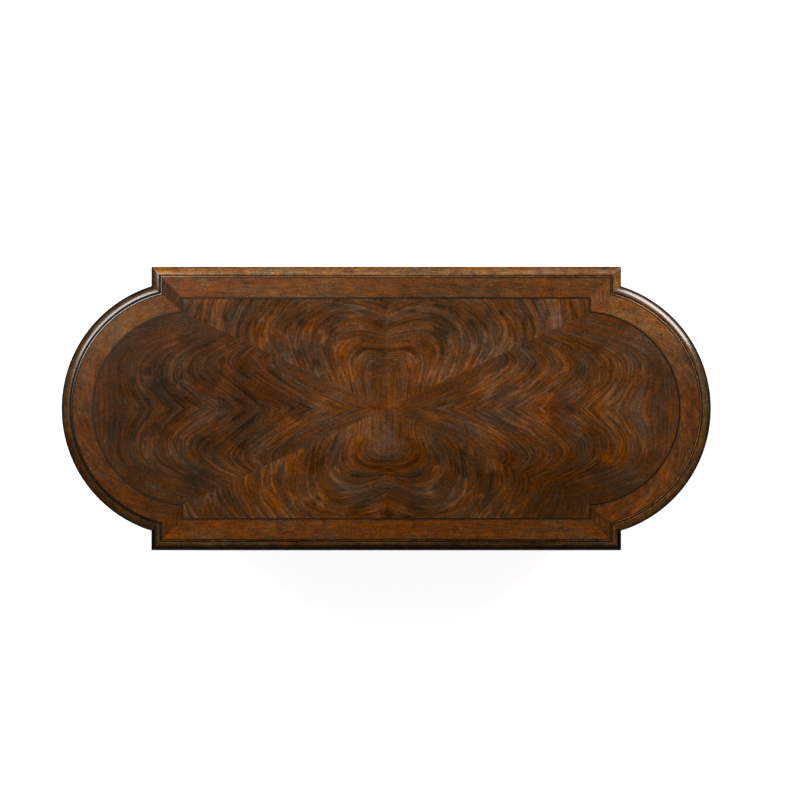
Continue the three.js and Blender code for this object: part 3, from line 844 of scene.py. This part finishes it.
# Painted light and shade: the whole side's brightness, the lip's, the groove's, the rim's and how far in it
# reaches
EDGING_PAINTED_LIGHT = {
    "right_end": (1.35, 1.5, 0.22, 0.3, 9 * MM),
    "back": (2.5, 0.55, 0.7, 0.7, 8 * MM),
    "left_end": (0.66, 0.32, 0.2, 0.1, 7 * MM),
    "front": (1.1, 0.6, 0.2, 0.08, 20 * MM),
}
# Each border side's brightness: partly the wood's own and partly painted light for how the lamps fall
BORDER_TONES = {"right_end": 1.25, "back": 1.3, "left_end": 0.95, "front": 1.22}
# The brightness of a side's first and last piece, and of the two leaves of each wedge. Part is
# the woods' own difference and part is painted light and shade for how the lamps fall on them
EDGING_RETURNS = {"back": (1.15, 0.36), "front": (0.82, 1.4)}
BORDER_RETURNS = {"back": (1.45, 0.45), "front": (0.62, 0.65)}
FIELD_TONES = {"right": (0.86, 0.84), "left": (0.62, 0.66), "back": (1.1, 0.85), "front": (0.82, 0.96)}


def eased(before, corner, after, steps=4):
    """Points of a curve that rounds a corner, without the first."""
    a, b, c = Vector(before), Vector(corner), Vector(after)
    shares = [i / steps for i in range(1, steps + 1)]
    return [tuple(a.lerp(b, t).lerp(b.lerp(c, t), t)) for t in shares]


def edging_section(lip_shade, groove_shade, rim_shade, reach):
    """From the flat lip beside the veneer, over the groove and the nosing, down to the cove. Its
    points carry painted light and shade: on the lip, in the groove, towards the rim and in the cove.
    """
    crown = HEIGHT - STEP_DROP
    quirk = crown - QUIRK_DEPTH
    lip = EDGING_WIDTH - LIP_WIDTH
    shoulder = lip - QUIRK_WIDTH - SHOULDER
    sines = [math.sin(math.radians(slope)) for slope in (CROWN_SLOPE, RIM_SLOPE)]
    cosines = [math.cos(math.radians(slope)) for slope in (CROWN_SLOPE, RIM_SLOPE)]
    radius = shoulder / (sines[1] - sines[0])
    centre = (radius * sines[1], crown - radius * cosines[0])
    rim = crown - radius * (cosines[0] - cosines[1])
    foot = rim - FLAT
    low = UNDERSIDE + COVE_FILLET

    start = [(COVE_STEP + COVE_WIDTH, UNDERSIDE), (EDGING_WIDTH, UNDERSIDE), (EDGING_WIDTH, HEIGHT)]
    edge = curve((lip + LIP_ROUND[0], HEIGHT - LIP_ROUND[1]), LIP_ROUND, 90, 180, 10)
    inner = lip - QUIRK_WIDTH
    wall = [(inner, quirk), (inner - 0.6 * MM, crown - 1.0 * MM)]
    brow = [(inner - 1.3 * MM, crown - 0.3 * MM), (shoulder, crown)]
    nosing = curve(centre, (radius, radius), 90 + CROWN_SLOPE, 90 + RIM_SLOPE, 24)[1:-1]
    arris = eased(nosing[-1], (0, rim), (0, rim - 1.2 * MM))
    corner = eased((0, foot + EASE), (0, foot), (EASE, foot))
    cove = curve((COVE_STEP, low), (COVE_WIDTH, foot - low), 90, 0, 8)
    # Painted shade that darkens the nosing towards its rim
    rim_shade_share = [min(1.0, max(0.0, 2 * inset / reach - 1)) for inset, _ in nosing]
    return (
        plain(start, JOINT_DIRT)
        + plain(edge[:-2], lip_shade)
        + plain(edge[-2:] + [(lip, quirk)] + wall, groove_shade)
        + plain(brow)
        + [(*point, rim_shade + (1 - rim_shade) * part) for point, part in zip(nosing, rim_shade_share)]
        + plain(arris, rim_shade)
        # Painted shade in the cove under the nosing
        + plain([(0, foot + EASE)] + corner + cove, 0.8)
    )


def mirrored_mesh(name, shape):
    """The mesh of a shape. The left pedestal's shapes are modelled on the right and mirrored."""
    return shape.mesh(name, name.startswith("left_"))


def dress(node, shape, finish=mahogany, body="carcase", smooth=32):
    """The piece that stands in for the CAD node whose name it bears, from a shape or a mesh."""
    data = mirrored_mesh(node, shape) if isinstance(shape, Shape) else shape
    piece("dressed_" + node, data, finish, body, [node], smooth)


def lay_veneer(name, data, body):
    """Figured leaves on a board, as a piece of their own."""
    piece(name + "_veneer", data, panel_figure, body)


def end_moulding(plan_radius, plane, section, facing, finish, tone=1.0):
    """A bent moulding by the recipe, as a plain mesh."""
    return cook(bent_stock, outline_mesh(section), {
        "Radius": plan_radius, "Centre": END_CENTRE, "Plane": plane, "Facing": facing,
        "Steps": ARC_STEPS, "Wood": far(), "Brightness": tone, "Finish": finish,
    })


def top_runs(first_name, sections, finish, end_finish, tones, returns, worn):
    """The edging or the border: two bent ends, and a front and a back with their mitred returns."""
    for part, facing in (("right_end", 1.0), ("left_end", -1.0)):
        data = end_moulding(END_RADIUS, MIDDLE_HALF, sections[part], facing, end_finish, tones[part])
        dress(first_name + "_" + part, data, end_finish)
    sides = {"back": (RIGHT_LAST, RIGHT_LAST + 1, RIGHT_LAST + 2), "front": (LEFT_LAST, LEFT_LAST + 1, 0)}
    for part, corners in sides.items():
        shape = Shape()
        rubbed = corners[1:] if worn else ()
        for corner, share in zip(corners, (returns[part][0], 1.0, returns[part][1])):
            straight(shape, top_plan, sections[part], corner, tones[part] * share, rubbed)
        dress(first_name + "_" + part, shape, finish)


def inlaid_line():
    """One closed ring, square in section, between the border and the field."""
    outer, inner = top_plan(BORDER_INSET), top_plan(FIELD_INSET)
    rings = []
    for out, into in zip(outer, inner):
        corners = ((out, CORE_TOP), (into, CORE_TOP), (into, HEIGHT), (out, HEIGHT))
        rings.append([(Vector((*p, z)), (*p, z)) for p, z in corners])
    shape = Shape()
    shape.skin(rings, closed=True)
    dress("inlay_line", shape, ebony)


def field_leaves():
    """Each wedge is two leaves from one flitch that mirror each other on the seam."""
    line = top_plan(FIELD_INSET)
    right = line[1:RIGHT_LAST + 1]
    tip = Vector((max(p.x for p in right), 0))
    notch, corner = right[-1], line[RIGHT_LAST + 1]
    centre = Vector((0, 0))
    quarter_end = [centre, tip] + [p for p in right if p.y > 1e-6]
    quarter_side = [centre, notch, corner, Vector((0, corner.y))]
    for part, (first, second) in FIELD_TONES.items():
        shape = Shape()
        ends = part in ("right", "left")
        facing = -1 if part in ("left", "front") else 1
        flitch = dice.uniform(0, 4) + (0 if ends else 30)
        for side, tone in ((1, first), (-1, second)):
            turn = Vector((facing, side)) if ends else Vector((side, facing))
            outline = [p * turn for p in (quarter_end if ends else quarter_side)]
            place = flitch + dice.uniform(0, 0.12)
            u, v = (1, 0) if ends else (0, 1)
            woods = [(abs(p[u]), abs(p[v]), place) for p in outline]
            shape.skin([[((*p, z), w) for p, w in zip(outline, woods)] for z in (CORE_TOP, HEIGHT)], tone)
        dress("field_" + part, shape, end_figure if ends else side_figure)


def core_board():
    shape = Shape()
    slab(shape, lambda inset: top_plan(EDGING_WIDTH + inset), UNDERSIDE, CORE_TOP)
    piece("dressed_core", shape.mesh("top_core"), oak, "carcase", ["top_core"])


def age_marks():
    """Dents and specks that the polish has darkened, over the flat part of the top."""
    outline = top_plan(EDGING_WIDTH)
    flat = bpy.data.meshes.new("flat")
    flat.from_pydata([(*p, HEIGHT) for p in outline], [], [tuple(range(len(outline)))])
    data = cook(scattered_marks(), flat, {
        "Density": 260.0, "Seed": 5, "Smallest": 0.7 * MM, "Largest": 4 * MM, "Thickness": 0.06 * MM,
        "Finish": mark,
    })
    piece("age_marks", data, mark, "carcase")


def dress_top():
    tones = {side: look[0] for side, look in EDGING_PAINTED_LIGHT.items()}
    sections = {side: edging_section(*look[1:]) for side, look in EDGING_PAINTED_LIGHT.items()}
    finish = moulding_mahogany
    top_runs("edging", sections, finish, finish, tones, EDGING_RETURNS, True)
    edge, end = EDGING_WIDTH, BORDER_INSET
    band = (
        plain([(edge, CORE_TOP), (end, CORE_TOP)])
        + plain([(end, HEIGHT), (end - DIRT_WIDTH, HEIGHT)], 0.7)
        + plain([(end - 3 * DIRT_WIDTH, HEIGHT), (edge + 2 * DIRT_WIDTH, HEIGHT)])
        + plain([(edge + DIRT_WIDTH, HEIGHT), (edge, HEIGHT)], JOINT_DIRT)
    )
    tones, finish = BORDER_TONES, border_mahogany
    sections = {side: band for side in tones}
    top_runs("border", sections, finish, end_border, tones, BORDER_RETURNS, False)
    inlaid_line()
    field_leaves()
    core_board()
    age_marks()


# The pedestals, modelled on the right and mirrored for the left

def spans(node):
    """How far a node, or its twin on the right, reaches across, deep and up."""
    return zip(*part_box(node.replace("left_", "right_")))


def plinth_section():
    """Upright face, a hollow above it and a narrow flat on top."""
    out, wall, flat = -PLINTH_OUT, 34 * MM, 2 * MM
    hollow_width, hollow_height = 10 * MM, 14 * MM
    top, low = PLINTH_HEIGHT, PLINTH_HEIGHT - flat - hollow_height
    hollow = curve((-flat - hollow_width, top - flat), (hollow_width, hollow_height), 0, -90, 10)
    foot = [(out, EASE), (out + EASE, 0), (out + wall, 0), (out + wall, top)]
    return plain(foot + [(-flat, top)] + hollow + [(out + EASE, low), (out, low - EASE)])


def plinth(side):
    """Mitred straight lengths and a bent one, as one mesh."""
    name = side + "_plinth"
    section, shape = plinth_section(), Shape()
    for corner in (0, 1, PEDESTAL_LAST, PEDESTAL_LAST + 1, PEDESTAL_LAST + 2):
        straight(shape, pedestal_plan, section, corner)
    facing = -1.0 if side == "left" else 1.0
    end = end_moulding(BODY_RADIUS, BODY_OUTER, section, facing, mahogany)
    bm = bmesh.new()
    bm.from_mesh(mirrored_mesh(name, shape))
    bm.from_mesh(end)
    data = bpy.data.meshes.new(name)
    bm.to_mesh(data)
    bm.free()
    dress(name, data)


def stops(shape, across, top):
    """The two blocks that a drawer closes against, on the board that carries them."""
    left = max(across[0], BAY_INNER) if across[0] > 0 else across[0]
    right = min(across[1], BAY_OUTER)
    away, width, thickness = 30 * MM, 30 * MM, 14 * MM
    up, place = (top - 2 * STOP_HEIGHT, top), facing_front(BOX_FRONT + 0.3 * MM)
    for start in (left + away, right - away - width):
        bar(shape, (start, start + width), up, (0, thickness), place, lengthwise="across")


def board(node, finish=mahogany, lengthwise="across", stopped=False):
    """A plain board of its node's size. A stopped one carries the stops of a drawer."""
    across, deep, (low, high) = spans(node)
    up = (low, high - STOP_HEIGHT if stopped else high)
    shape = Shape()
    bar(shape, across, up, deep, facing_front(0), lengthwise=lengthwise)
    if stopped:
        stops(shape, across, high)
    dress(node, shape, finish)


def base_board(side):
    across, _, up = spans("right_base_board")
    shape = Shape()
    slab(shape, pedestal_plan, PLINTH_HEIGHT, BODY_BOTTOM)
    stops(shape, across, up[1])
    dress(side + "_base_board", shape)


def frame_bars(shape, across, inner, up, lowest, deep, place, steps=(1, 1)):
    """Two stiles and, between them, a rail over each opening and the lowest one."""
    for ends in ((across[0], inner[0]), (inner[1], across[1])):
        bar(shape, ends, up, deep, place, steps=steps[0])
    for level in ((UPPER_OPENING[1], up[1]), (MIDDLE_OPENING[1], UPPER_OPENING[0]), lowest):
        bar(shape, inner, level, deep, place, steps=steps[1], lengthwise="across")


def face_frame(side):
    across, (front, back), up = spans("right_face_frame")
    lowest = (LOWER_OPENING_TOP, MIDDLE_OPENING[0])
    shape = Shape()
    frame_bars(shape, across, (BAY_INNER, BAY_OUTER), up, lowest, (0, back - front), facing_front(front))
    dress(side + "_face_frame", shape)


def frame_moulding(depth):
    """An ovolo with a small step, from a frame's edge down to a panel at a depth."""
    back, width, step = 0.2 * MM, 7.2 * MM, 0.6 * MM
    ovolo = curve((0.8 * MM, depth - step), (5.2 * MM, depth - 2.4 * MM), -90, 0, 8)
    edge = [(-back, depth + back), (-back, 1.8 * MM)]
    return edge + ovolo + [(width, depth - step), (width, depth + back)]


def framed_board(node):
    """A frame behind the drawers, with a moulding round each of the two panels sunk in its back."""
    across, (front, back), up = spans(node)
    inner, foot = (across[0] + RAIL, across[1] - RAIL), up[0] + RAIL
    deep, place = (0, back - front), facing_back(back)
    shape, figure = Shape(), Shape()
    frame_bars(shape, across, inner, up, (up[0], foot), deep, place)
    for panel in (UPPER_OPENING, (foot, MIDDLE_OPENING[1])):
        beading(shape, inner, panel, frame_moulding(PANEL_SINK), place)
        matched(figure, inner, panel, (PANEL_SINK, deep[1] - 0.2 * MM), place)
    dress(node, shape)
    lay_veneer(node, mirrored_mesh(node, figure), "carcase")


def round_pedestal_end(side):
    """The bent frame and the figured panel behind its openings."""
    (_, outside), _, up = spans("right_end_frame")
    (_, face), _, panel_up = spans("right_end_panel")
    sink, foot = outside - face, up[0] + RAIL
    inner = (END_STILE - END_REACH, END_REACH - END_STILE)
    shape, figure = Shape(), Shape()
    across, deep = (-END_REACH, END_REACH), (0, END_FRAME)
    frame_bars(shape, across, inner, up, (up[0], foot), deep, bent, (8, 64))
    for panel in (UPPER_OPENING, (foot, MIDDLE_OPENING[1])):
        beading(shape, inner, panel, frame_moulding(sink), bent, steps=64)
    reach = inner[1] + 8 * MM
    matched(figure, (-reach, reach), panel_up, (sink, sink + 6 * MM), bent, steps=40)
    dress(side + "_end_frame", shape)
    dress(side + "_end_panel", figure, panel_figure)


def pedestal(side):
    plinth(side)
    base_board(side)
    for node in ("_kneehole_side", "_outer_side"):
        board(side + node, lengthwise="up")
    face_frame(side)
    framed_board(side + "_back_panel")
    for node in ("_upper_dustboard", "_lower_dustboard"):
        board(side + node, oak, stopped=True)
    round_pedestal_end(side)


def between_pedestals():
    board("centre_top_rail")
    board("centre_dustboard", stopped=True)
    framed_board("modesty_panel")


# The drawers

def drawer_front(name):
    """The front in one with its bead, and two leaves of figured veneer inside the bead."""
    node = name + "_front"
    dress(node, softened(node, lambda middle: True), mahogany, name, smooth=25)
    low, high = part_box(node)
    bead = 3 * MM
    across, up = (low.x + bead, high.x - bead), (low.z + bead, high.z - bead)
    figure = Shape()
    matched(figure, across, up, (-0.5 * MM, 0.1 * MM), facing_front(BODY_FRONT))
    lay_veneer(name, figure.mesh(name), name)


def drawer_box(name):
    """The dovetailed box. Its sides run front to back, and its back and bottom across."""
    node = name + "_box"
    low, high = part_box(node)
    wall = 12.5 * MM  # a little more than the sides are thick
    data = softened(node, lambda middle: min(middle.x - low.x, high.x - middle.x) >= wall)
    dress(node, data, oak, name, smooth=25)


def knob_profile(low, high):
    """(radius, reach) points of a knob: a domed face, a neck, a rose and a spigot."""
    radius = (high.x - low.x) / 2
    face = low.y - BODY_FRONT
    dome = curve((0, face + 9 * MM), (radius, 9 * MM), -90, -20, 10)
    under = curve((radius - 4.2 * MM, face + 9 * MM), (4.2 * MM, 4.5 * MM), -15, 80, 8)
    neck = curve((10.5 * MM, -9 * MM), (5 * MM, 5.5 * MM), -110, -235, 10)
    rose = [(8.6 * MM, -3.6 * MM), (10.4 * MM, -3 * MM), (11 * MM, -2.4 * MM), (11 * MM, -0.3 * MM)]
    spigot = [(4 * MM, -0.3 * MM), (4 * MM, 13.7 * MM), (0, 13.7 * MM)]
    return dome + under + neck + rose + spigot


def drawer_knobs(name):
    nodes = [node for node in frame["nodes"] if node.startswith(name) and node.endswith("_knob")]
    boxes = [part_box(node) for node in nodes]
    places = bpy.data.meshes.new("places")
    places.from_pydata([((a.x + b.x) / 2, BODY_FRONT, (a.z + b.z) / 2) for a, b in boxes], [], [])
    marker = show("places", places)
    profile = outline_mesh(plain(knob_profile(*boxes[0])), closed=False)
    data = cook(knob_lathe, profile, {"Places": marker, "Steps": 48, "Finish": brass})
    bpy.data.objects.remove(marker)
    piece("dressed_" + name + "_knobs", data, brass, name, nodes)


bent_stock = bent_moulding()
knob_lathe = turned_knobs()


# Light, floor and camera

def softbox(name, azimuth, elevation, distance, size, power):
    """A large area light that faces the middle of the top. Azimuth is from +X towards +Y."""
    data = bpy.data.lights.new(name, "AREA")
    data.shape = "RECTANGLE"
    data.size, data.size_y = size
    data.energy = power
    data.color = (1, 0.96, 0.88)
    lamp = show(name, data)
    a, e = math.radians(azimuth), math.radians(elevation)
    way = Vector((math.cos(a) * math.cos(e), math.sin(a) * math.cos(e), math.sin(e)))
    lamp.location = Vector((0, 0, HEIGHT)) + way * distance
    lamp.rotation_mode = "QUATERNION"
    lamp.rotation_quaternion = way.to_track_quat("Z", "Y")


def studio():
    """Dim overhead and in front, so that the flat top shows its own colour, with light from the
    back and the sides and softboxes that draw the highlights along the moulding."""
    world = bpy.data.worlds.new("studio")
    bpy.context.scene.world = world
    world.use_nodes = True
    tree = Tree(world.node_tree)
    right, back, up = tree.parts(tree.step("ShaderNodeTexCoord", {}, "Generated"))
    leaning = up - (back - right * 0.7) * 0.5
    overhead = tree.smooth(leaning, 0.6, 0.98, 1.0, 0.02)
    behind = tree.smooth(back, -0.3, 0.35, 0.06, 1.0)
    level = tree.smooth(up, 0.4, 0.8, 0.03, 1.0)
    inputs = {"Color": (1, 0.9, 0.76, 1), "Strength": overhead * behind * level * 0.6}
    sky = tree.step("ShaderNodeBackground", inputs)
    tree.feed(tree.node("ShaderNodeOutputWorld").inputs["Surface"], sky)
    softbox("back_left", 143, 46, 3.4, (1.9, 1.8), 124)
    softbox("back_right", 41, 24, 3.4, (1.9, 0.9), 80)
    softbox("front", 270, -2.9, 8, (7.2, 0.5), 270)
    bpy.context.scene.view_settings.view_transform = "Standard"


def floor():
    """A pale floor that glows a little, like a light table, so that shadows stay faint."""
    reach = 30
    corners = [(-reach, -reach, 0), (reach, -reach, 0), (reach, reach, 0), (-reach, reach, 0)]
    data = bpy.data.meshes.new("floor")
    data.from_pydata(corners, [], [(0, 1, 2, 3)])
    data.materials.append(glowing_floor)
    show("floor", data)


PICTURE = 800  # pixels each way
OBJECT_LEFT, OBJECT_RIGHT = 62, 710.5  # the columns that the top fills in the photograph
OBJECT_TOP, OBJECT_BOTTOM = 267, 550  # the rows


def camera():
    """Straight above the desk, with a long lens. Its place off the middle frames the desk, whose
    outline is the widest line of the nosing."""
    data = bpy.data.cameras.new("camera")
    height = 6.0
    outline_level = HEIGHT - 24 * MM
    pixel = LENGTH / (OBJECT_RIGHT - OBJECT_LEFT)
    data.sensor_width = 36
    data.lens = data.sensor_width * height / (pixel * PICTURE)
    eye = show("camera", data)
    right = PICTURE / 2 - (OBJECT_LEFT + OBJECT_RIGHT) / 2
    up = (OBJECT_TOP + OBJECT_BOTTOM) / 2 - PICTURE / 2
    eye.location = (right * pixel, up * pixel, outline_level + height)
    bpy.context.scene.camera = eye


dress_top()
pedestal("right")
pedestal("left")
between_pedestals()
for drawer in frame["bodies"]:
    if drawer.endswith("_drawer"):
        drawer_front(drawer)
        drawer_box(drawer)
        drawer_knobs(drawer)
studio()
floor()
camera()
